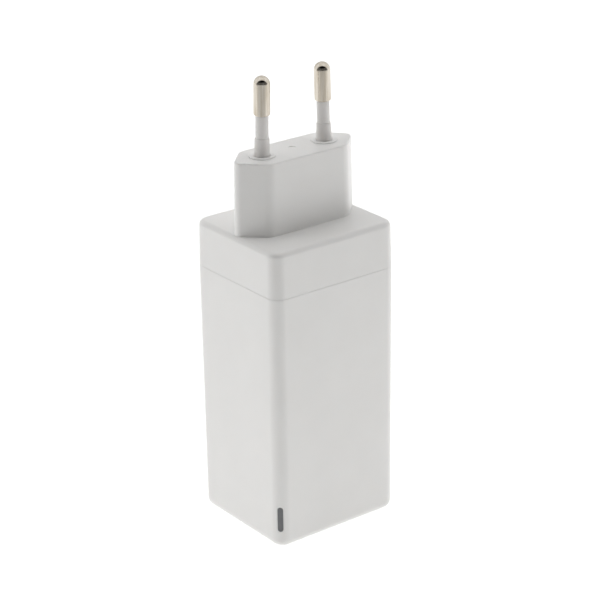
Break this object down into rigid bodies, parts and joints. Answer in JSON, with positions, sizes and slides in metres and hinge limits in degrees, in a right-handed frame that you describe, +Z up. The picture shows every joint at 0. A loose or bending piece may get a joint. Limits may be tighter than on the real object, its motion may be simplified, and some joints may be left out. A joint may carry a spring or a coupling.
{
  "type": "laptop power adapter",
  "caption": "White plug-in USB-C laptop charger: tall rounded case, welded cap with a hexagonal European two-pin plug, smoked status window on one corner.",
  "frame": {"origin": "centre of the port end that the charger stands on", "axes": "+Z up towards the pins, +X along the line of the two pins, +Y to the back; the status window is on the -X, -Y corner"},
  "size_m": [0.0366, 0.0328, 0.1147],
  "materials": {
    "shell_polycarbonate": "satin",
    "sleeve_nylon": "satin",
    "seat_plastic": "satin",
    "nickel_plated_brass": "polished",
    "spring_bronze": "satin",
    "smoked_polycarbonate": "gloss",
    "led_body": "satin",
    "board_laminate": "satin",
    "fuse_case": "matte",
    "blue_epoxy": "gloss",
    "yellow_film_case": "satin",
    "ferrite": "matte",
    "enamelled_copper": "gloss",
    "insulated_wire": "gloss",
    "moulded_phenolic": "matte",
    "epoxy_package": "matte",
    "opto_package": "matte",
    "capacitor_sleeve": "gloss",
    "capacitor_can": "satin",
    "polyester_tape": "gloss",
    "port_steel": "satin",
    "port_insulator": "matte",
    "gold_contact": "polished",
    "gap_pad": "matte",
    "spreader_aluminium": "satin",
    "polyester_film": "gloss"
  },
  "bodies": {
    "root": {"body_shell": "shell_polycarbonate", "plug_cap": "shell_polycarbonate", "pin_left": "nickel_plated_brass", "pin_right": "nickel_plated_brass", "sleeve_left": "sleeve_nylon", "sleeve_right": "sleeve_nylon", "collar_left": "seat_plastic", "collar_right": "seat_plastic", "contact_left": "spring_bronze", "contact_right": "spring_bronze", "light_pipe": "smoked_polycarbonate", "status_led": "led_body", "input_board": "board_laminate", "fuse": "fuse_case", "varistor": "blue_epoxy", "x_capacitor": "yellow_film_case", "choke_core": "ferrite", "choke_windings": "enamelled_copper", "choke_base": "moulded_phenolic", "bridge_rectifier": "epoxy_package", "input_link": "moulded_phenolic", "main_board": "board_laminate", "bulk_capacitors": "capacitor_sleeve", "core_upper": "ferrite", "core_lower": "ferrite", "bobbin": "moulded_phenolic", "primary_winding": "enamelled_copper", "secondary_winding": "insulated_wire", "core_tape": "polyester_tape", "y_capacitor": "blue_epoxy", "primary_switch": "epoxy_package", "optocoupler": "opto_package", "sync_rectifier": "epoxy_package", "output_capacitors": "capacitor_can", "output_link": "moulded_phenolic", "output_board": "board_laminate", "pd_controller": "epoxy_package", "bus_switch": "epoxy_package", "usb_c_shell": "port_steel", "usb_c_insulator": "port_insulator", "usb_c_contacts": "gold_contact", "primary_pad": "gap_pad", "primary_spreader": "spreader_aluminium", "secondary_pad": "gap_pad", "secondary_spreader": "spreader_aluminium", "insulation_film": "polyester_film"}
  },
  "joints": []
}
